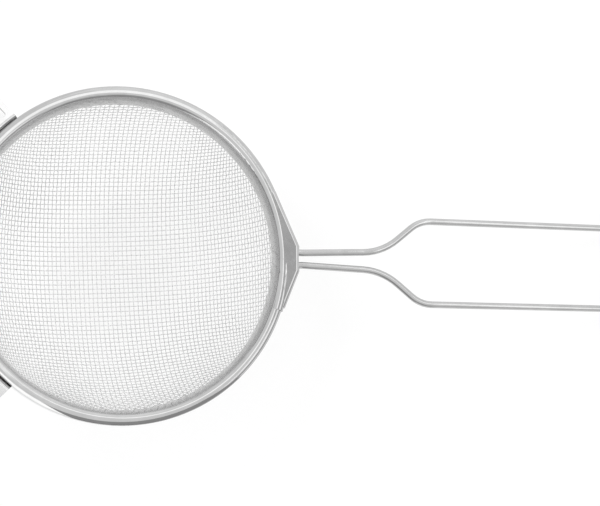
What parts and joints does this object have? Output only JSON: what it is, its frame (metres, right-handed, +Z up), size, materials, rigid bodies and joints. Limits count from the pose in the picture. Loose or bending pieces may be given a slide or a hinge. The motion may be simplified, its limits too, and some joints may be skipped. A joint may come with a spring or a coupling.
{
  "type": "wire mesh strainer",
  "caption": "Hand strainer: a bowl of pressed woven wire in a rolled sheet rim, a looped double wire handle, and rest ears opposite the handle.",
  "frame": {"origin": "the point of the table that the bottom of the bowl touches", "axes": "+X towards the grip's end, +Z up from the table, as the strainer lies at rest"},
  "size_m": [0.2599, 0.12, 0.0665],
  "materials": {
    "wire_steel": "polished stainless wire",
    "rim_steel": "bright rolled stainless strip",
    "mesh_steel": "bright fine drawn wire",
    "ear_steel": "bright pressed stainless sheet"
  },
  "bodies": {
    "root": {"frame_wire": "wire_steel", "rim_band": "rim_steel", "mesh_bowl": "mesh_steel", "rest_ear_left": "ear_steel", "rest_ear_right": "ear_steel"}
  },
  "joints": []
}
